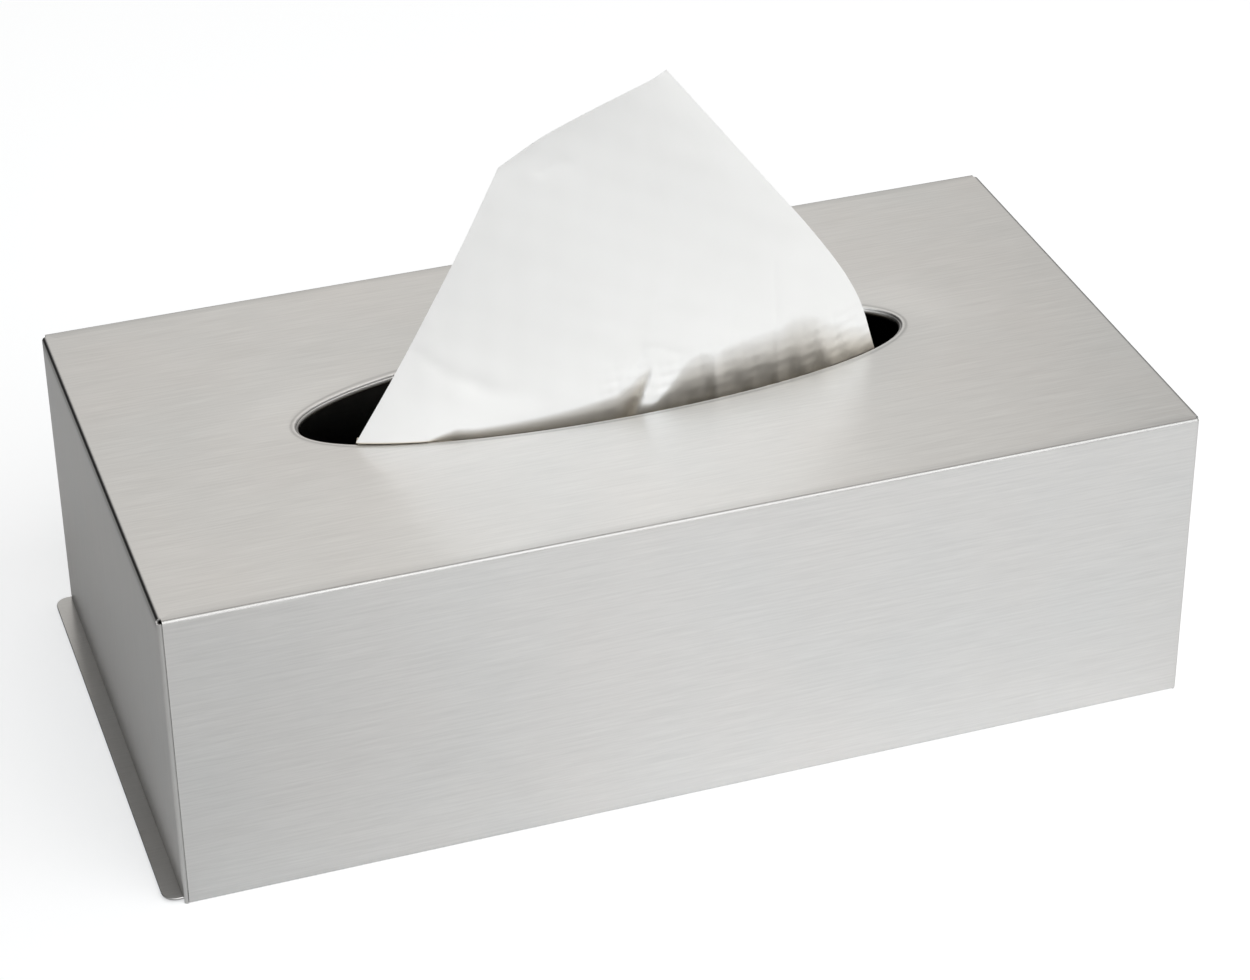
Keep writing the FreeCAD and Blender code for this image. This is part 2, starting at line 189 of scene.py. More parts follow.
def end_fold_patch(fold_y, side):
    """The fold from the top down into an end wall, a quarter roll along Y."""
    centre_x, centre_z = HALF_LENGTH - BEND, TOP - BEND
    x = np.concatenate([[LONG_WALL_END], centre_x + MID_BEND * np.sin(QUARTER), [HALF_LENGTH - MID]])
    z = np.concatenate([[TOP - MID], centre_z + MID_BEND * np.cos(QUARTER), [FOLD_BOTTOM]])
    down = np.concatenate([[0], np.cumsum(np.hypot(np.diff(x), np.diff(z)))])
    flat = points_of(side * (LONG_WALL_END + down[:, None]), fold_y, 0)[..., :2]
    return points_of(side * x[:, None], fold_y, z[:, None]), flat


def end_wall_patch(fold_y, side):
    """An end wall with its two corner folds and tabs, level by level, and which of its quads are steel."""
    corner_x, corner_y = HALF_LENGTH - BEND, TAB_FACE - BEND
    tab_x = np.array([HALF_LENGTH - TAB_LENGTH, HALF_LENGTH - TAB_LENGTH / 2, LONG_WALL_END + SEAM_GAP])
    half_x = np.concatenate([tab_x, corner_x + MID_BEND * np.sin(QUARTER)])
    half_y = np.concatenate([np.full(3, TAB_FACE - MID), corner_y + MID_BEND * np.cos(QUARTER)])
    x = np.concatenate([half_x, np.full(len(fold_y), HALF_LENGTH - MID), half_x[::-1]])
    y = np.concatenate([-half_y, fold_y, half_y[::-1]])
    z = across([0, MOUTH_HEIGHT, FOOT_HEIGHT + SEAM_GAP], np.linspace(8 * MM, FOLD_BOTTOM, END_ROWS),
               FOLD_BOTTOM - np.array([0.5, 1.0, 1.6, 2.2]) * MM)[:, None]
    along = np.cumsum(np.concatenate([[0], np.hypot(np.diff(x), np.diff(y))]))
    flat = points_of(side * (HALF_LENGTH + TOP - z), along - along.mean(), 0)[..., :2]
    level = (z[1:] + z[:-1]) / 2
    quad_x, quad_y = (x[1:] + x[:-1]) / 2, (y[1:] + y[:-1]) / 2
    steel = (level > FOOT_HEIGHT) | (quad_x > LONG_WALL_END + SEAM_GAP)
    if side < 0:
        steel &= (level > MOUTH_HEIGHT) | (np.abs(quad_y) > TAB_FACE - GAUGE)
    hold = (1 - (y / TAB_FACE) ** 2) * np.sin(math.pi * z / TOP)
    press = np.where(x > HALF_LENGTH - BEND, 0.25 * MM * hold * (1 + 0.4 * np.sin(y * 60)), 0)
    return points_of(side * (x - press), y, z), flat, steel


def weld(patches):
    """Grids of points joined into one mesh: equal points become one, and each keeps its blank's UV. A patch
    is its points, its UV, which quads are there (None for all), and whether it closes and is turned."""
    places, uvs, quads = [], [], []
    start = 0
    for points, flat, there, closed, turned in patches:
        rows, columns = points.shape[:2]
        number = start + np.arange(rows * columns).reshape(rows, columns)
        if closed:
            number = np.concatenate([number, number[:, :1]], axis=1)
        corners = [number[:-1, :-1], number[:-1, 1:], number[1:, 1:], number[1:, :-1]]
        faces = np.stack(corners[::-1] if turned else corners, axis=-1)
        quads.append(faces.reshape(-1, 4) if there is None else faces[there])
        places.append(points.reshape(-1, 3))
        uvs.append(flat.reshape(-1, 2))
        start += rows * columns
    places, uvs, quads = (np.concatenate(part) for part in (places, uvs, quads))
    first, to = np.unique(np.round(places, 7), axis=0, return_index=True, return_inverse=True)[1:]
    return places[first], to.reshape(-1)[quads], uvs[quads]


def mesh_piece(name, places, quads, uvs=None, smooth=True):
    """A mesh object at the origin from points, quads and a UV for each corner of each quad."""
    mesh = bpy.data.meshes.new(name)
    mesh.from_pydata(places.tolist(), [], quads.tolist())
    if uvs is not None:
        layer = mesh.uv_layers.new(name="flat")
        layer.data.foreach_set("uv", np.asarray(uvs, np.float32).ravel())
    mesh.polygons.foreach_set("use_smooth", np.full(len(mesh.polygons), smooth))
    mesh.update()
    piece = bpy.data.objects.new(name, mesh)
    bpy.context.scene.collection.objects.link(piece)
    return piece


def thicken(piece, gauge, sharp_angle):
    """Give a middle surface its wall, half to each side, with crisp raw edges."""
    wall = piece.modifiers.new("wall", "SOLIDIFY")
    wall.thickness = gauge
    wall.offset = 0
    finished = bpy.data.meshes.new_from_object(piece.evaluated_get(bpy.context.evaluated_depsgraph_get()))
    piece.modifiers.clear()
    piece.data = finished
    finished.set_sharp_from_angle(angle=math.radians(sharp_angle))


def keep_values(piece, name, values):
    """Keep a number at each point of a piece's mesh, for its material to read."""
    layer = piece.data.attributes.new(name, "FLOAT", "POINT")
    layer.data.foreach_set("value", np.asarray(values, np.float32))


wall_x = np.linspace(-LONG_WALL_END, LONG_WALL_END, WALL_COLUMNS)
fold_y = np.linspace(-FOLD_HALF_WIDTH, FOLD_HALF_WIDTH, FOLD_COLUMNS)
panel, panel_flat, slot_turn = panel_patch(wall_x, fold_y)
rim, rim_flat = rim_patch(slot_turn)
cover_patches = [(panel, panel_flat, None, True, True), (rim, rim_flat, None, True, True)]
for side in (-1, 1):
    wall, wall_flat = long_wall_patch(wall_x, side)
    fold, fold_flat = end_fold_patch(fold_y, side)
    end, end_flat, end_steel = end_wall_patch(fold_y, side)
    cover_patches.append((wall, wall_flat, None, False, side < 0))
    cover_patches.append((fold, fold_flat, None, False, side > 0))
    cover_patches.append((end, end_flat, end_steel, False, side < 0))
places, quads, uvs = weld(cover_patches)
steel_cover = mesh_piece("steel_cover", places + [MIDDLE_X, 0, 0], quads, uvs)
thicken(steel_cover, GAUGE, CRISP_ANGLE)
middle_count = len(places)

# Painted shade and highlight on the steel, standing in for its dark reflections and for shade: where each
# lies, how wide it is and how dark,
# 1 being black and below 0 a painted highlight; in degrees round the folds, and in metres down from the end
# folds, out from the slot and down its rim
LONG_FOLD_SHADE_LINES = ((18, 14, 0.58), (48, 20, 0.56))
END_FOLD_SHADE_BAND = (50, 32, 0.64)
BELOW_END_FOLD_SHADE = (0, 1.7 * MM, 0.75)
SLOT_SHADE_RING = (1.75 * MM, 0.35 * MM, 0.3)
RIM_CREST_PAINTED_GLINT = (0.25 * MM, 0.25 * MM, -0.1)
RIM_FOOT_START, RIM_FOOT_FULL, RIM_FOOT_SHADE = 0.85 * MM, 1.3 * MM, 0.92
INSIDE_PAINTED_SHADE = 0.88


def slot_distance(x, y):
    """How far places lie out from the slot's edge, and their angle: the ellipse's value over its slope."""
    turn = np.arctan2(y / SLOT_HALF_WIDTH, x / SLOT_HALF_LENGTH)
    ratio = np.hypot(x / SLOT_HALF_LENGTH, y / SLOT_HALF_WIDTH)
    slope = np.hypot(x / SLOT_HALF_LENGTH ** 2, y / SLOT_HALF_WIDTH ** 2)
    return (ratio - 1) * ratio / slope, turn


def painted_shade_by(value, place, spread, dull):
    """A bell curve of a distance or an angle, as high as the painted shade there."""
    return dull * bell(value, place, spread)


def fold_shade(corners):
    """How much shade is painted into the steel at each corner: two painted lines along the long folds, one
    standing in for a dark reflection and one dimming the highlight, a painted shaded band down from the end
    folds, a fine painted ring of shade round the slot, a painted glint on its rim's crest and a painted dark
    foot below."""
    x, y, z = np.abs(corners[:, 0] - MIDDLE_X), np.abs(corners[:, 1]), corners[:, 2]
    bend_centre = TOP - BEND
    high = z > bend_centre
    over = np.maximum(z - bend_centre, 1e-6)
    long_turn = np.degrees(np.arctan2(y - PANEL_HALF_WIDTH, over))
    end_turn = np.degrees(np.arctan2(x - (HALF_LENGTH - BEND), over))
    # Painted shade and a painted glint, standing in for reflections and shade in the folds and round the slot
    line = sum(painted_shade_by(long_turn, *row) for row in LONG_FOLD_SHADE_LINES)
    line = line * high * (x < LONG_WALL_END + 0.2 * MM)
    below = painted_shade_by(np.maximum(bend_centre - z, 0), *BELOW_END_FOLD_SHADE) * END_FOLD_SHADE_BAND[2]
    band = np.where(high, painted_shade_by(end_turn, *END_FOLD_SHADE_BAND), below)
    band = band * (y < FOLD_HALF_WIDTH + 0.2 * MM) * (x > LONG_WALL_END)
    out, turn = slot_distance(corners[:, 0] - MIDDLE_X, corners[:, 1] - SLOT_BACK)
    ring = painted_shade_by(out, *SLOT_SHADE_RING) * high
    depth = TOP - z - slot_dip(turn, 0)
    foot = RIM_FOOT_SHADE * blend_in((depth - RIM_FOOT_START) / (RIM_FOOT_FULL - RIM_FOOT_START))
    crest = painted_shade_by(depth, *RIM_CREST_PAINTED_GLINT)
    near = np.abs(out) < 3 * MM
    return line + band + near * (ring + foot * (out < 1.1 * MM) + crest * (out < 1.25 * MM))


corners = np.zeros(len(steel_cover.data.vertices) * 3)
steel_cover.data.vertices.foreach_get("co", corners)
cover_shade = fold_shade(corners.reshape(-1, 3))
# The inner face is painted dark, as shade inside the box
cover_shade[middle_count:] = INSIDE_PAINTED_SHADE
keep_values(steel_cover, "shade", cover_shade)
flatten = steel_cover.modifiers.new("even shading", "WEIGHTED_NORMAL")
flatten.keep_sharp = True


def new_group(name, inputs, outputs):
    """An empty shader group with value or vector sockets, and its input and output nodes."""
    group = bpy.data.node_groups.new(name, "ShaderNodeTree")
    for label, kind in inputs:
        group.interface.new_socket(name=label, in_out="INPUT", socket_type="NodeSocket" + kind)
    for label, kind in outputs:
        group.interface.new_socket(name=label, in_out="OUTPUT", socket_type="NodeSocket" + kind)
    return group, group.nodes.new("NodeGroupInput"), group.nodes.new("NodeGroupOutput")


def put(tree, kind, links=(), **values):
    """Add a node, set its inputs and properties by name, and link its inputs."""
    node = tree.nodes.new("ShaderNode" + kind)
    for name, value in values.items():
        label = name.replace("_", " ").title()
        if hasattr(node, name):
            setattr(node, name, value)
        else:
            node.inputs[label].default_value = value
    for slot, source in links:
        tree.links.new(source, node.inputs[slot])
    return node


def remap(tree, source, given, wanted, kind="LINEAR"):
    """One range of a value carried onto another, and held at both ends."""
    node = put(tree, "MapRange", [(0, source)], interpolation_type=kind)
    for slot, value in zip((1, 2, 3, 4), (*given, *wanted)):
        node.inputs[slot].default_value = value
    return node.outputs[0]


def mix_colours(tree, share, first, second):
    """Two colours mixed by a share from 0 to 1; the first may come out of another node."""
    mix = put(tree, "Mix", [(0, share)], data_type="RGBA")
    if isinstance(first, tuple):
        mix.inputs[6].default_value = (*first, 1)
    else:
        tree.links.new(first, mix.inputs[6])
    mix.inputs[7].default_value = (*second, 1)
    return mix.outputs[2]


def brushing_group():
    """Brushed grain on a flat map in metres: fine scratches and broader streaks along U, from 0 to 1."""
    group, given, result = new_group(
        "brushing",
        [("Map", "Vector"), ("Length", "Float"), ("Width", "Float")],
        [("Grain", "Float"), ("Streaks", "Float"), ("Cloud", "Float")])
    split = put(group, "SeparateXYZ", [(0, given.outputs["Map"])])
    along = put(group, "Math", [(0, split.outputs[0]), (1, given.outputs["Length"])], operation="DIVIDE")
    over = put(group, "Math", [(0, split.outputs[1]), (1, given.outputs["Width"])], operation="DIVIDE")
    stretched = put(group, "CombineXYZ", [(0, along.outputs[0]), (1, over.outputs[0])])
    fine = put(group, "TexNoise", [("Vector", stretched.outputs[0])], scale=1.0, detail=3.0, roughness=0.7)
    wide = put(group, "VectorMath", [(0, stretched.outputs[0])], operation="MULTIPLY")
    wide.inputs[1].default_value = (0.33, 0.21, 1)
    broad = put(group, "TexNoise", [("Vector", wide.outputs[0])], scale=1.0, detail=2.0, roughness=0.5)
    cloud = put(group, "TexNoise", [("Vector", given.outputs["Map"])], scale=22.0, detail=2.0, roughness=0.5)
    group.links.new(fine.outputs["Fac"], result.inputs["Grain"])
    group.links.new(broad.outputs["Fac"], result.inputs["Streaks"])
    group.links.new(cloud.outputs["Fac"], result.inputs["Cloud"])
    return group


BRUSHING = brushing_group()


def steel_material(name, colour, rough, grain_length, grain_width):
    """Brushed stainless steel: a metal whose grain shades its colour, roughness and surface, and whose colour
    is darkened or lightened by the painted shade and highlight kept on its mesh.
    """
    material = bpy.data.materials.new(name)
    material.use_nodes = True
    tree = material.node_tree
    shader = tree.nodes["Principled BSDF"]
    shader.inputs["Metallic"].default_value = 1
    shader.inputs["Anisotropic"].default_value = 0.72
    shader.inputs["Anisotropic Rotation"].default_value = 0.25
    flat = put(tree, "UVMap", uv_map="flat")
    tangent = put(tree, "Tangent", direction_type="UV_MAP", uv_map="flat")
    tree.links.new(tangent.outputs[0], shader.inputs["Tangent"])
    brushing = tree.nodes.new("ShaderNodeGroup")
    brushing.node_tree = BRUSHING
    brushing.inputs["Length"].default_value = grain_length
    brushing.inputs["Width"].default_value = grain_width
    tree.links.new(flat.outputs[0], brushing.inputs["Map"])
    marks = put(tree, "Math", [(0, brushing.outputs["Grain"]), (1, brushing.outputs["Streaks"])],
                operation="ADD")
    tone = remap(tree, marks.outputs[0], (0.7, 1.3), (0.945, 1.05))
    warmer = (colour[0] * 1.03, colour[1] * 1.01, colour[2])
    cooler = (colour[0] * 0.97, colour[1] * 0.99, colour[2])
    mottled = mix_colours(tree, brushing.outputs["Cloud"], warmer, cooler)
    # Painted shade and highlight kept on the mesh darken or lighten the colour here
    painted_shade = put(tree, "Attribute", attribute_type="GEOMETRY", attribute_name="shade")
    bright = put(tree, "Math", [(1, painted_shade.outputs["Fac"])], operation="SUBTRACT")
    bright.inputs[0].default_value = 1
    toned = put(tree, "Math", [(0, tone), (1, bright.outputs[0])], operation="MULTIPLY")
    painted = put(tree, "VectorMath", [(0, mottled), (1, toned.outputs[0])], operation="MULTIPLY")
    tree.links.new(painted.outputs[0], shader.inputs["Base Color"])
    gloss = remap(tree, brushing.outputs["Streaks"], (0.3, 0.7), (rough - 0.04, rough + 0.04))
    tree.links.new(gloss, shader.inputs["Roughness"])
    scratch = put(tree, "Bump", [("Height", brushing.outputs["Grain"])], strength=0.16, distance=0.00002)
    tree.links.new(scratch.outputs[0], shader.inputs["Normal"])
    return material


GRAIN_LENGTH, GRAIN_WIDTH = 6 * MM, 0.13 * MM
cover_steel = steel_material("cover_steel", (0.86, 0.855, 0.845), 0.33, GRAIN_LENGTH, GRAIN_WIDTH)
steel_cover.data.materials.clear()
steel_cover.data.materials.append(cover_steel)
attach(steel_cover, "cover")
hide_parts("cover")

# Base plate
# A flat steel sheet with rounded corners that lies on the cover's return flanges. It slides out at
# the left end, where its lip stands out to be gripped. Its edges are only deburred.

plate_low, plate_high = (np.array(corner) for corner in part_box("base_plate"))
LIP_CORNER = 3.5 * MM
FAR_CORNER = 1.5 * MM
DEBURR = 0.12 * MM
ARRIS = ((1, 0), (0.3, 0.3), (0, 1))
PLATE_TURN_STEPS = 9


def rounded_outline(low, high, radii, steps):
    """A rectangle's outline, anticlockwise from its low corner, with a quarter circle at each corner."""
    corners = [(low[0], low[1], 1, 1), (high[0], low[1], -1, 1),
               (high[0], high[1], -1, -1), (low[0], high[1], 1, -1)]
    rows = []
    for index, ((x, y, to_x, to_y), radius) in enumerate(zip(corners, radii)):
        turn = math.pi + index * math.pi / 2 + np.linspace(0, math.pi / 2, steps)
        cx, cy = x + to_x * radius, y + to_y * radius
        rows.append(np.stack([cx + radius * np.cos(turn), cy + radius * np.sin(turn)], axis=-1))
    return np.concatenate(rows)


def plate_levels():
    """The plate's edge as level loops, from below: deburred arris, straight edge, deburred arris."""
    rising = [(inset * DEBURR, plate_low[2] + height * DEBURR) for inset, height in ARRIS]
    closing = [(inset * DEBURR, plate_high[2] - height * DEBURR) for inset, height in ARRIS[::-1]]
    loops = []
    for inset, z in rising + closing:
        radii = [LIP_CORNER - inset, FAR_CORNER - inset, FAR_CORNER - inset, LIP_CORNER - inset]
        outline = rounded_outline(plate_low[:2] + inset, plate_high[:2] - inset, radii, PLATE_TURN_STEPS)
        loops.append(points_of(outline[:, 0], outline[:, 1], z))
    return np.array(loops)


levels = plate_levels()
places, quads, uvs = weld([(levels, levels[..., :2], None, True, False)])
steel_plate = mesh_piece("steel_base_plate", places, quads, uvs)
face_places = np.concatenate([levels[-1], levels[0][::-1]])
face_corners = np.arange(len(face_places)).reshape(2, -1)
plate_faces = mesh_piece("plate_faces", face_places, face_corners, face_places[:, :2])
joined = [steel_plate, plate_faces]
with bpy.context.temp_override(active_object=steel_plate, selected_editable_objects=joined):
    bpy.ops.object.join()
steel_plate.data.set_sharp_from_angle(angle=math.radians(CRISP_ANGLE))
plate_steel = steel_material("plate_steel", (0.72, 0.715, 0.705), 0.32, GRAIN_LENGTH, GRAIN_WIDTH)
steel_plate.data.materials.clear()
steel_plate.data.materials.append(plate_steel)
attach(steel_plate, "base_plate")
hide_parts("base_plate")

# Tissue pack
# What is left of a pack of interfolded tissues: each clip of folded sheets shows as a soft groove
# along the long sides, each sheet as a fine line. The paper is white and soft.

pack_low, pack_high = (np.array(corner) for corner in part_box("tissue_stack"))
CLIP = 3 * MM
CLIP_GROOVE = 0.8 * MM
SHEET_PITCH = 0.6 * MM
PACK_CORNER = 1.2 * MM
PACK_ROWS = 181
OUTLINE_STEP = 4 * MM


def fill_outline(outline, step):
    """The same outline with points added so that no side is longer than a step."""
    following = np.roll(outline, -1, axis=0)
    rows = []
    for start, end in zip(outline, following):
        count = max(1, int(np.ceil(np.hypot(*(end - start)) / step)))
        rows.append(start + (end - start) * (np.arange(count) / count)[:, None])
    return np.concatenate(rows)


def pack_levels():
    """The pack's sides: a rounded outline at each height, drawn in between clips and sheets."""
    height = np.linspace(0, pack_high[2] - pack_low[2], PACK_ROWS)
    in_clip = np.abs((height + CLIP / 2) % CLIP - CLIP / 2)
    groove = CLIP_GROOVE * np.clip(1 - in_clip / (0.5 * MM), 0, 1)
    sheet = 0.14 * MM * (1 - np.abs(np.sin(math.pi * height / SHEET_PITCH)))
    ends = np.minimum(height, height[-1] - height)
    soft = 0.9 * MM * (1 - blend_in(ends / (1.2 * MM)))
    outline = fill_outline(rounded_outline(pack_low[:2], pack_high[:2], [PACK_CORNER] * 4, 7), OUTLINE_STEP)
    middle = (pack_low[:2] + pack_high[:2]) / 2
    reach = outline - middle
    wander = 0.12 * MM * np.sin(reach @ [310, 190] + np.arange(PACK_ROWS)[:, None] * 2.4)
    inset = (groove + sheet + soft)[:, None] + 0.15 * MM + wander
    x, y = (middle[axis] + reach[:, axis] * (1 - inset / reach[:, axis].max()) for axis in (0, 1))
    return points_of(x, y, (pack_low[2] + height)[:, None])


def pack_face(loop, rows, swell):
    """The pack's top or underside: its edge drawn in to its middle point, a little wavy."""
    middle = loop.mean(axis=0)
    share = np.linspace(0, 1, rows)[:, None]
    x = loop[:, 0] + (middle[0] - loop[:, 0]) * share
    y = loop[:, 1] + (middle[1] - loop[:, 1]) * share
    wave = swell * np.sin(x * 90 + 1) * np.cos(y * 120) * np.sin(math.pi * share)
    return points_of(x, y, loop[:, 2] + wave)


pack_sides = pack_levels()
pack_top = pack_face(pack_sides[-1], 14, -0.12 * MM)
pack_bottom = pack_face(pack_sides[0], 6, 0)
pack_patches = [(grid, grid[..., :2] + grid[..., 2:], None, True, turned)
                for grid, turned in ((pack_sides, False), (pack_top, False), (pack_bottom, True))]
places, quads, uvs = weld(pack_patches)
tissue_pack = mesh_piece("tissue_pack", places, quads, uvs)


def crepe_group():
    """The soft wrinkles of creped paper on a map in metres, from 0 to 1, and its broader clouding."""
    group, given, result = new_group(
        "crepe", [("Map", "Vector"), ("Scale", "Float")], [("Crepe", "Float"), ("Cloud", "Float")])
    squashed = put(group, "VectorMath", [(0, given.outputs["Map"])], operation="MULTIPLY")
    squashed.inputs[1].default_value = (1, 3.2, 1)
    fine = put(group, "TexNoise", [("Vector", squashed.outputs[0]), ("Scale", given.outputs["Scale"])],
               detail=4.0, roughness=0.65)
    cloud = put(group, "TexNoise", [("Vector", given.outputs["Map"])], scale=60.0, detail=3.0, roughness=0.5)
    group.links.new(fine.outputs["Fac"], result.inputs["Crepe"])
    group.links.new(cloud.outputs["Fac"], result.inputs["Cloud"])
    return group


CREPE = crepe_group()
CREPE_SCALE = 1400
# The warm painted shade of the sheet where it rolls under at its foot and inside the box
TUCKED_SHADE_COLOUR = (0.72, 0.65, 0.54)


def paper_material(name, light, shaded, crepe_depth):
    """Soft tissue paper: matt white with a faint crepe and a little sheen, with a warm painted shade where it
    is tucked in.
    """
    material = bpy.data.materials.new(name)
    material.use_nodes = True
    tree = material.node_tree
    shader = tree.nodes["Principled BSDF"]
    shader.inputs["Roughness"].default_value = 0.85
    shader.inputs["Specular IOR Level"].default_value = 0.2
    shader.inputs["Sheen Weight"].default_value = 0.15
    shader.inputs["Sheen Roughness"].default_value = 0.5
    flat = put(tree, "UVMap", uv_map="flat")
    crepe = tree.nodes.new("ShaderNodeGroup")
    crepe.node_tree = CREPE
    crepe.inputs["Scale"].default_value = CREPE_SCALE
    tree.links.new(flat.outputs[0], crepe.inputs["Map"])
    clouded = mix_colours(tree, crepe.outputs["Cloud"], shaded, light)
    tucked_shade_share = put(tree, "Attribute", attribute_type="GEOMETRY", attribute_name="tucked")
    with_painted_shade = mix_colours(tree, tucked_shade_share.outputs["Fac"], clouded, TUCKED_SHADE_COLOUR)
    tree.links.new(with_painted_shade, shader.inputs["Base Color"])
    bump = put(tree, "Bump", [("Height", crepe.outputs["Crepe"])], strength=0.3, distance=crepe_depth)
    tree.links.new(bump.outputs[0], shader.inputs["Normal"])
    return material


pack_paper = paper_material("pack_paper", (0.86, 0.86, 0.85), (0.83, 0.83, 0.81), 0.05 * MM)
tissue_pack.data.materials.append(pack_paper)
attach(tissue_pack, "cover")
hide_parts("tissue_stack")

# Pulled tissue
# The top sheet of the pack, drawn up through the slot by one corner. It stands on the slot's front
# rim with its left side folded behind. Its foot is rolled under into the slot, and the rest is bunched
# on the pack inside.

SHEET_GAUGE = 0.12 * MM
SHEET_CRISP_ANGLE = 80
# The sheet is drawn on an upright plane as it is seen from one place, the eye
EYE = np.array([-0.2287, -0.7024, 0.5198])
DRAWN_Y = -1.5 * MM
FOOT_RANGE = (-64.2 * MM, 68.8 * MM)
RIM_CREST = 0.9 * MM
PACK_TOP = pack_high[2] + 0.8 * MM
BUNCH_HEIGHT = 13 * MM
BUNCH_TOP = PACK_TOP + BUNCH_HEIGHT
BUNCH_WIDTH = 17 * MM
BUNCH_FOLDS = 9
BUNCH_Y = -4 * MM
GATHER = 0.86
TURN_IN_DROP = 0.08 * MM
COLUMNS, BACK_COLUMNS, ROWS, INSIDE_ROWS = 210, 26, 100, 80


def smooth_line(knots, at):
    """A Catmull-Rom curve through a few points, at shares of its way from 0 to 1."""
    knots = np.asarray(knots, float)
    padded = np.concatenate([2 * knots[:1] - knots[1:2], knots, 2 * knots[-1:] - knots[-2:-1]])
    place = np.clip(at, 0, 1) * (len(knots) - 1)
    index = np.minimum(place.astype(int), len(knots) - 2)
    t = (place - index)[:, None]
    a, b, c, d = (padded[index + shift] for shift in range(4))
    square, cube = 2 * a - 5 * b + 4 * c - d, 3 * b - a - 3 * c + d
    return 0.5 * (2 * b + (c - a) * t + square * t ** 2 + cube * t ** 3)


def front_rim(x, out):
    """Y of the front half of the slot at a place along it, a little outside or inside its edge."""
    share = np.clip((x - MIDDLE_X) / (SLOT_HALF_LENGTH + out), -0.995, 0.995)
    return SLOT_BACK - (SLOT_HALF_WIDTH + out) * np.sqrt(1 - share ** 2)


def on_sight(points, y):
    """Points moved along their lines of sight to another depth, so that their outline stays as drawn."""
    share = (points[..., 1] - y) / (points[..., 1] - EYE[1])
    return points + (EYE - points) * share[..., None]


def drawn_point(x, z):
    """A point of the drawn outline, in millimetres on the plane at DRAWN_Y."""
    return np.array([x, z]) * MM


def foot_line(share):
    """The foot on the drawn plane, from left to right: the crest of the slot's front rim, as it is seen."""
    x = FOOT_RANGE[0] + (FOOT_RANGE[1] - FOOT_RANGE[0]) * share
    crest = points_of(x, front_rim(x, RIM_CREST), TOP)
    return on_sight(crest, np.full(x.shape, DRAWN_Y))[:, ::2]


FOOT_LEFT, FOOT_RIGHT = foot_line(np.array([0.0, 1.0]))
SHOULDER, APEX = drawn_point(-24.4, 142.6), drawn_point(17.3, 160.9)
LEFT_EDGE = [FOOT_LEFT, drawn_point(-50.6, 94.0), drawn_point(-36.2, 119.5), drawn_point(-27.2, 137.0),
             SHOULDER]
RIGHT_EDGE = [FOOT_RIGHT, drawn_point(67.0, 91.5), drawn_point(56.5, 109.0), drawn_point(37.3, 134.6),
              APEX]
TOP_EDGE = [SHOULDER, drawn_point(-13.6, 148.6), drawn_point(-3.0, 152.9), drawn_point(7.2, 156.6),
            drawn_point(13.6, 158.9), APEX]
FREE_END = drawn_point(-14.0, 86.0)

CREASES = [
    # Start and end in millimetres on the drawn plane, then half width, valley depth and step across
    ((33.4, 80.0), (32.6, 108.0), 1.5, 0.10, 0.06),
    ((46.0, 82.0), (45.6, 107.0), 0.8, 0.02, -0.14),
    ((-49.5, 99.0), (-26.0, 80.5), 2.2, 0.30, 0.10),
    ((-36.0, 86.0), (-14.0, 77.5), 3.5, 0.25, 0.0),
    ((6.0, 79.5), (11.5, 87.5), 1.6, 0.32, 0.0),
    ((11.5, 87.5), (24.5, 82.0), 1.3, 0.25, 0.15),
    ((10.0, 99.5), (27.0, 96.5), 2.0, -0.09, 0.0),
    ((27.0, 97.5), (33.0, 108.0), 2.2, 0.12, 0.0),
    ((-16.0, 139.5), (-6.0, 141.5), 1.6, 0.15, 0.0),
    ((18.0, 138.0), (32.0, 135.0), 2.5, -0.07, 0.0),
    ((-30.0, 118.0), (-8.0, 108.0), 5.0, 0.12, 0.0),
    ((-2.0, 96.0), (6.0, 88.0), 2.6, -0.10, 0.0),
    ((40.0, 116.0), (54.0, 104.0), 4.0, 0.14, 0.0),
]
FOLD_LEAN = 0.5
UNDER_FOLD = np.array([
    # Millimetres along the foot on the drawn plane, how far above the rim the sheet starts to turn under,
    # and how far back it goes
    (-61.1, 0.3, 0.0), (-44.5, 0.3, 0.0), (-42.0, 1.6, 1.8), (-38.5, 3.0, 3.4), (-33.8, 2.6, 2.4),
    (-26.2, 3.0, 2.0), (-18.5, 3.6, 2.2), (-10.8, 4.6, 3.0), (-4.4, 5.8, 3.9), (0.8, 7.2, 5.2),
    (3.5, 9.5, 6.6), (5.3, 12.5, 8.5), (6.8, 14.0, 8.5), (7.6, 10.0, 6.5), (8.4, 4.0, 3.2),
    (10.0, 2.6, 2.2), (12.1, 2.4, 2.2), (13.4, 3.2, 3.0), (14.1, 5.0, 4.8), (15.7, 8.0, 7.5),
    (18.1, 11.0, 10.0), (21.8, 13.0, 11.5), (25.8, 14.0, 12.0),
    (28.1, 13.5, 11.5), (29.2, 13.0, 10.0), (29.9, 12.5, 8.6), (30.7, 13.0, 10.0), (31.8, 14.0, 11.5),
    (36.3, 15.0, 12.5), (41.7, 15.0, 12.5), (45.4, 15.5, 12.5), (46.2, 15.0, 11.3), (47.2, 15.5, 12.5),
    (49.6, 17.0, 12.5), (52.3, 17.0, 11.0), (55.6, 16.0, 9.0), (58.2, 14.0, 6.5), (60.4, 12.0, 4.8),
    (64.4, 10.0, 3.6), (68.4, 7.5, 2.8), (72.2, 5.0, 2.0),
])
FOLD_HEIGHT, FOLD_REACH = 1, 2
ROLL_POWER, ROLL_DEPTH = 1.4, 0.92


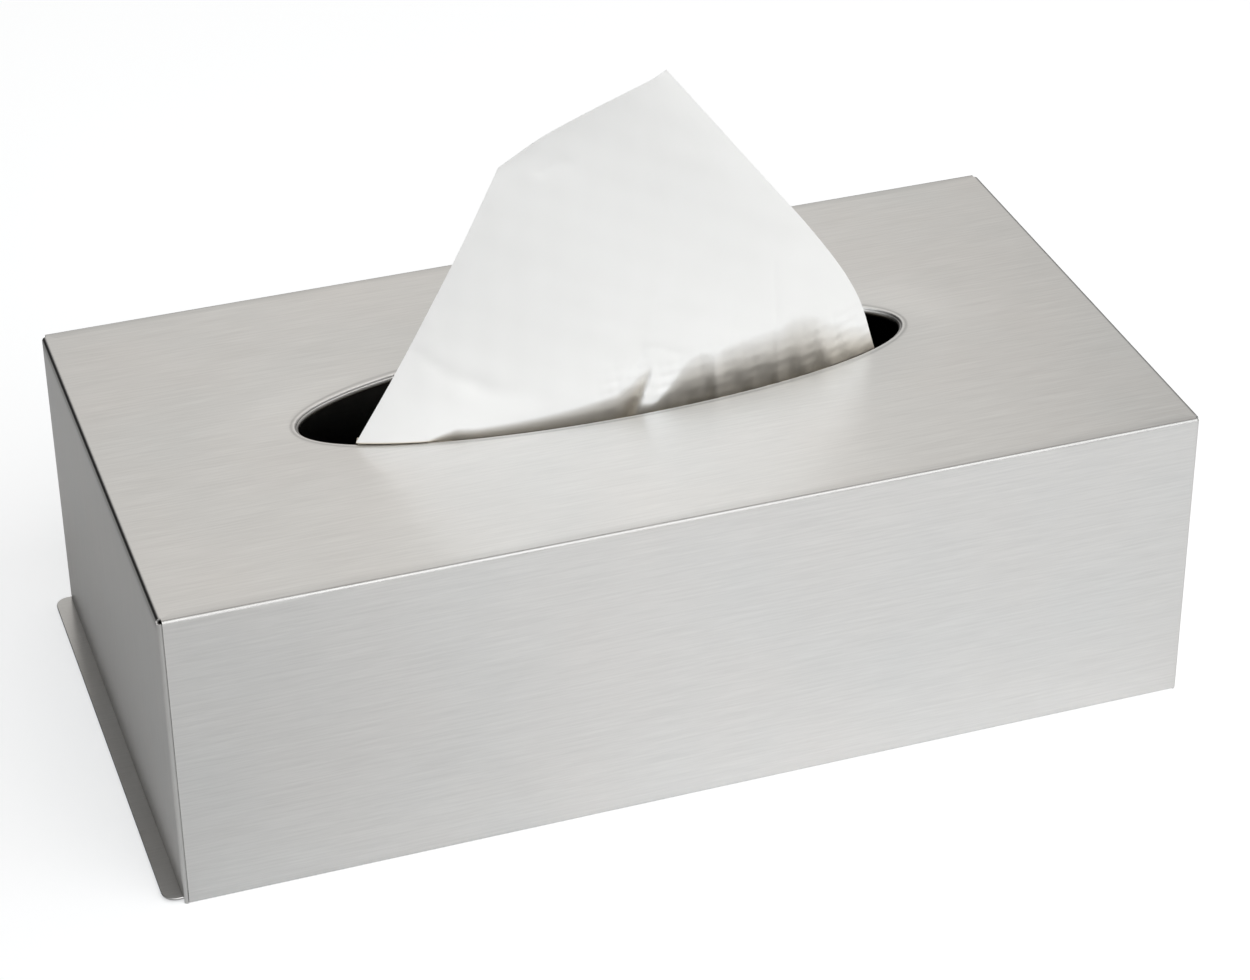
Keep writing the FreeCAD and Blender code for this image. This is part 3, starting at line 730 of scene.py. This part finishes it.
def crease_push(x, z):
    """All the creases at places on the drawn plane: a bell or a soft step across each, fading at its ends."""
    push = np.zeros(np.broadcast(x, z).shape)
    for (start_x, start_z), (end_x, end_z), width, valley, step in CREASES:
        run_x, run_z = end_x - start_x, end_z - start_z
        length = math.hypot(run_x, run_z)
        along = ((x - start_x) * run_x + (z - start_z) * run_z) / length ** 2
        off = ((x - start_x) * run_z - (z - start_z) * run_x) / length
        off = off + 0.25 * width * np.sin(along * 8 + start_x)
        fade = blend_in(along / 0.4 + 0.4) * blend_in((1 - along) / 0.4 + 0.4)
        wide = width * (0.8 + 0.5 * np.clip(along, 0, 1))
        fall = np.maximum(off, 0) / (4 * wide) + (np.minimum(off, 0) / wide) ** 2
        push += fade * (valley * bell(off, 0, wide) + step * (off / wide) * np.exp(-fall))
    return push


def eased(x, height, column):
    """A column of the leaning fold line at places on the sheet, averaged over a millimetre or so."""
    spread = np.linspace(-0.8, 0.8, 5)
    weight = bell(spread, 0, 0.7)
    lean = FOLD_LEAN * (1 - blend_in((x - 16) / 10)) * np.minimum(height, 12)
    line = np.interp((x - lean)[..., None] + spread, UNDER_FOLD[:, 0], UNDER_FOLD[:, column])
    return line @ (weight / weight.sum())


def tucked_share(x, height):
    """How far the sheet is rolled under at a place: nothing above the fold line, 1 at the rim."""
    return np.clip(1 - height / eased(x, height, FOLD_HEIGHT), 0, 1)


def foot_crumple(x, height, rolled):
    """Waves where the sheet is rolled far under, soft bumps above them, and a swell that dies with height."""
    waves = 0.3 * np.sin(x * 0.9 + 0.35 * height) + 0.2 * np.sin(x * 1.7 - 0.6 * height + 1)
    waves = waves * rolled * blend_in((eased(x, height, FOLD_HEIGHT) - 5) / 5)
    bumps = np.sin(x * 0.62 + 1.1 * height) * np.sin(0.9 * height - 0.5 * x + 1)
    bumps = bumps + 0.6 * np.sin(x * 1.5 - 0.9 * height + 2) * np.sin(1.3 * height + 0.8 * x)
    bumps = 0.16 * bumps * bell(height, 7, 7) * blend_in((x + 5) / 10)
    swell = 2.4 * np.exp(-height / 10) * blend_in((x + 45) / 30)
    return waves + bumps + swell


def sheet_slack(x, z, v):
    """The hanging sheet's own slackness: a broad wave, a narrower one and a fine ripple above the foot."""
    broad = 0.35 * np.sin(x * 0.075 + z * 0.05) * v * (1 - v) * 4 + 0.1 * np.sin(x * 0.21 - z * 0.13) * v
    ripple = 0.05 * np.sin(x * 0.55 + 0.31 * z + 2) * np.sin(z * 0.35 - 0.2 * x) * blend_in(v * 6)
    return broad + ripple


def front_depth(u, v, drawn_x, drawn_z, rim_y):
    """Y of the front layer: bowed over the slot's front rim, its lower edge rolled under into the slot."""
    x, z = drawn_x / MM, drawn_z / MM
    height = z - z[:1]
    rolled = tucked_share(x, height) ** ROLL_POWER
    rising = 1 - (1 - v) ** 1.7
    bow = rim_y / MM - 0.3 + (-2.5 + 2.0 * (2 * u - 1) ** 2 - rim_y / MM) * rising
    roll = ROLL_DEPTH * eased(x, height, FOLD_REACH) * rolled
    return (bow + roll + foot_crumple(x, height, rolled) + sheet_slack(x, z, v) + crease_push(x, z)) * MM


def span_edges(foot, top, left, right, u, v):
    """A grid between four edges: each pair blended straight across, less the blend of the four corners."""
    up, along = v[..., None], u[..., None]
    upright = foot * (1 - up) + top * up
    level = left[:, None] * (1 - along) + right[:, None] * along
    corners = (foot[0] * (1 - up) * (1 - along) + foot[-1] * (1 - up) * along
               + top[0] * up * (1 - along) + top[-1] * up * along)
    return upright + level - corners


def back_layer(left, front_edge_y, v):
    """The side that is folded behind: the left edge, shortened in steps until it ends at the free end. It
    parts from the front layer with the square root of its share, a little wavy."""
    share = np.linspace(0, 1, BACK_COLUMNS)[None, :, None]
    low = left[0] + (np.array([FREE_END[0], left[0][1]]) - left[0]) * share[0]
    high = left[-1] + (FREE_END - left[-1]) * share[0]
    drawn = low + (left[:, None] - left[0]) * (high - low) / (left[-1] - left[0])
    gap = (0.3 + 5.5 * np.sqrt(share[..., 0] + 1e-9)) * MM
    y = front_edge_y + gap * (0.4 + 0.6 * (1 - v)) + 0.6 * MM * np.sin(share[..., 0] * 9 + v * 4)
    return on_sight(points_of(drawn[..., 0], DRAWN_Y, drawn[..., 1]), y)


u = np.linspace(0, 1, COLUMNS)[None, :]
v = (np.linspace(0, 1, ROWS) ** 1.5)[:, None]
foot, top_row = foot_line(u[0]), smooth_line(TOP_EDGE, u[0])
left, right = smooth_line(LEFT_EDGE, v[:, 0]), smooth_line(RIGHT_EDGE, v[:, 0])
drawn = span_edges(foot, top_row, left, right, u, v)
rim_y = front_rim(FOOT_RANGE[0] + (FOOT_RANGE[1] - FOOT_RANGE[0]) * u, RIM_CREST)
front_y = front_depth(u, v, drawn[..., 0], drawn[..., 1], rim_y)
front = on_sight(points_of(drawn[..., 0], DRAWN_Y, drawn[..., 1]), front_y)
back = back_layer(left, front_y[:, :1], v)
back[:, 0] = front[:, 0]
upper = np.concatenate([back[:, :0:-1], front], axis=1)


def into_the_box(foot_row, rows):
    """Below the rim: in past the rim, down to the pack, then to and fro in flat folds, one on the other."""
    start_x, start_y, start_z = foot_row.T
    clear_y = np.maximum(start_y + 0.1 * MM, front_rim(start_x, 0) + 1.3 * MM)
    step_in = np.linspace(0, 1, 4)[1:, None]
    clear_x = start_x + 0.4 * (clear_y - start_y)
    turned_in = points_of(start_x + (clear_x - start_x) * step_in, start_y + (clear_y - start_y) * step_in,
                          start_z - TURN_IN_DROP * step_in)
    fall = np.linspace(0, 1, rows // 3 - 2)[1:, None]
    ease = blend_in((fall - 0.1) / 0.9)
    x = clear_x + (start_x * GATHER - clear_x) * ease
    y = clear_y + (BUNCH_Y - clear_y) * ease
    clear_z = start_z - TURN_IN_DROP
    falling = points_of(x, y, clear_z - (clear_z - BUNCH_TOP) * fall)
    turns = np.linspace(0, BUNCH_FOLDS, rows - rows // 3 + 1)[1:, None]
    swing = np.arcsin(0.985 * np.sin(math.pi * turns)) / math.pi
    lean = 0.15 * np.sin(foot_row[:, 0] * 60 + turns)
    bunch_y = BUNCH_Y + BUNCH_WIDTH * swing * (1 + lean)
    bunch_z = BUNCH_TOP - BUNCH_HEIGHT * turns / BUNCH_FOLDS * (1 + 0.03 * np.sin(foot_row[:, 0] * 90))
    bunch_x = foot_row[:, 0] * GATHER + 0.8 * MM * np.sin(turns * 2 + foot_row[:, 0] * 40)
    return np.concatenate([turned_in, falling, points_of(bunch_x, bunch_y, bunch_z)])


lower = into_the_box(upper[0], INSIDE_ROWS)
sheet_points = np.concatenate([lower[::-1], upper])
steps_up = np.linalg.norm(np.diff(sheet_points, axis=0), axis=-1)
sheet_v = np.concatenate([np.zeros((1, sheet_points.shape[1])), np.cumsum(steps_up, axis=0)])
steps_along = np.linalg.norm(np.diff(sheet_points[INSIDE_ROWS], axis=0), axis=-1)
sheet_u = np.concatenate([[0], np.cumsum(steps_along)])[None, :]
sheet_flat = np.stack(np.broadcast_arrays(sheet_u, sheet_v), axis=-1)
places, quads, uvs = weld([(sheet_points, sheet_flat, None, False, False)])
white_tissue = mesh_piece("white_tissue", places, quads, uvs)
thicken(white_tissue, SHEET_GAUGE, SHEET_CRISP_ANGLE)
foot_height = drawn[..., 1] - drawn[:1, :, 1]
# Painted shade: as much as the sheet is rolled under, and all of it inside the box
tucked = np.zeros(sheet_points.shape[:2])
tucked[INSIDE_ROWS:, BACK_COLUMNS - 1:] = tucked_share(drawn[..., 0] / MM, foot_height / MM)
tucked[:INSIDE_ROWS] = 1
# The points in the order that weld gives them, once for each face of the thickened sheet
kept = np.unique(np.round(sheet_points.reshape(-1, 3), 7), axis=0, return_index=True)[1]
keep_values(white_tissue, "tucked", np.tile(tucked.reshape(-1)[kept], 2))
tissue_paper = paper_material("tissue_paper", (0.90, 0.90, 0.895), (0.88, 0.88, 0.87), 0.04 * MM)
white_tissue.data.materials.append(tissue_paper)
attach(white_tissue, "cover")
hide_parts("pulled_tissue")

# Floor, light and camera
# A pale floor, painted darker towards the left as shade and glowing more to the right where the metal mirrors
# it, and soft light from above, the front and the right, with the left side darker.
# The camera stands at the photograph's viewing angle.

FLOOR_SIZE = 6.0
FLOOR_GLOW = 0.6
floor_points = points_of(np.array([[-1, 1], [-1, 1]]), np.array([[-1, -1], [1, 1]]), 0.0) * FLOOR_SIZE / 2
places, quads, uvs = weld([(floor_points, floor_points[..., :2], None, False, False)])
floor = mesh_piece("floor", places, quads, uvs, smooth=False)

floor_paint = bpy.data.materials.new("floor_paint")
floor_paint.use_nodes = True
tree = floor_paint.node_tree
shader = tree.nodes["Principled BSDF"]
on_floor = put(tree, "TexCoord")
across_floor = put(tree, "SeparateXYZ", [(0, on_floor.outputs["Object"])])
# Painted shade: the floor's colour darkens towards the left, where the end wall mirrors it
left_shade_paint = remap(tree, across_floor.outputs[0], (-0.36, -0.06), (0.3, 0.6), "SMOOTHSTEP")
tree.links.new(left_shade_paint, shader.inputs["Base Color"])
shader.inputs["Roughness"].default_value = 0.9
shader.inputs["Specular IOR Level"].default_value = 0.1
seen = put(tree, "LightPath")
# Painted light: the floor glows only in the metal's reflections, more to the right
mirrored = remap(tree, across_floor.outputs[0], (-0.1, 0.03), (0.0, 0.18), "SMOOTHSTEP")
glow_in_metal = put(tree, "Math", [(0, seen.outputs["Is Glossy Ray"]), (1, mirrored)], operation="MULTIPLY")
to_camera = put(tree, "Math", [(0, seen.outputs["Is Camera Ray"])], operation="MULTIPLY")
to_camera.inputs[1].default_value = FLOOR_GLOW
lift = put(tree, "Math", [(0, to_camera.outputs[0]), (1, glow_in_metal.outputs[0])], operation="ADD")
shader.inputs["Emission Color"].default_value = (0.98, 0.99, 1, 1)
tree.links.new(lift.outputs[0], shader.inputs["Emission Strength"])
floor.data.materials.append(floor_paint)

world = bpy.data.worlds.new("studio")
bpy.context.scene.world = world
world.use_nodes = True
tree = world.node_tree
background = tree.nodes["Background"]
direction = put(tree, "TexCoord")
split = put(tree, "SeparateXYZ", [(0, direction.outputs["Generated"])])
from_side = remap(tree, split.outputs[0], (-0.42, 0.28), (0.02, 0.78), "SMOOTHSTEP")
far_right = remap(tree, split.outputs[0], (0.32, 0.5), (1.0, 0.45), "SMOOTHSTEP")
overhead = remap(tree, split.outputs[2], (0.45, 0.6), (0.66, 1.04), "SMOOTHSTEP")
side_and_top = put(tree, "Math", [(0, from_side), (1, overhead)], operation="MULTIPLY")
studio_light = put(tree, "Math", [(0, side_and_top.outputs[0]), (1, far_right)], operation="MULTIPLY")
seen = put(tree, "LightPath")
strength = put(tree, "Mix", [(0, seen.outputs["Is Camera Ray"]), (2, studio_light.outputs[0])],
               data_type="FLOAT")
strength.inputs[3].default_value = 1.0
tree.links.new(strength.outputs[0], background.inputs["Strength"])
sky = mix_colours(tree, seen.outputs["Is Camera Ray"], (1.0, 0.975, 0.935), (1, 1, 1))
tree.links.new(sky, background.inputs["Color"])


def soft_lamp(name, place, target, size, power, colour):
    """A rectangular soft box of a given size, power in watts and colour, turned to a point."""
    light = bpy.data.lights.new(name, "AREA")
    light.shape = "RECTANGLE"
    light.size, light.size_y = size
    light.energy = power
    light.color = colour
    lamp = bpy.data.objects.new(name, light)
    lamp.location = place
    lamp.rotation_mode = "QUATERNION"
    lamp.rotation_quaternion = (Vector(target) - Vector(place)).to_track_quat("-Z", "Y")
    bpy.context.scene.collection.objects.link(lamp)


soft_lamp("key_lamp", (0.15, -1.1, 1.4), (0, 0, 0.05), (2.8, 1.5), 30.5, (0.975, 0.99, 1))

CAMERA_AZIMUTH, CAMERA_ELEVATION, CAMERA_ROLL = map(math.radians, (-18.5, 32.62, -0.69))
CAMERA_DISTANCE = 815 * MM
AIM_RIGHT, AIM_UP = 102.2 * MM, 96.8 * MM
FOCAL_PIXELS = 3506
IMAGE_WIDTH = 1250
SENSOR_WIDTH = 36
CORNER = Vector((cover_low[0], cover_low[1], 0))
back_way = Vector((math.sin(CAMERA_AZIMUTH) * math.cos(CAMERA_ELEVATION),
                   -math.cos(CAMERA_AZIMUTH) * math.cos(CAMERA_ELEVATION), math.sin(CAMERA_ELEVATION)))
level_right = Vector((0, 0, 1)).cross(back_way).normalized()
level_up = back_way.cross(level_right)
right_way = math.cos(CAMERA_ROLL) * level_right + math.sin(CAMERA_ROLL) * level_up
up_way = -math.sin(CAMERA_ROLL) * level_right + math.cos(CAMERA_ROLL) * level_up
camera_data = bpy.data.cameras.new("camera")
camera_data.sensor_width = SENSOR_WIDTH
camera_data.lens = SENSOR_WIDTH * FOCAL_PIXELS / IMAGE_WIDTH
camera = bpy.data.objects.new("camera", camera_data)
camera_place = CORNER + right_way * AIM_RIGHT + up_way * AIM_UP + back_way * CAMERA_DISTANCE
turned = Matrix((right_way, up_way, back_way)).transposed().to_4x4()
camera.matrix_world = Matrix.Translation(camera_place) @ turned
bpy.context.scene.collection.objects.link(camera)
bpy.context.scene.camera = camera
bpy.context.scene.view_settings.view_transform = "Standard"
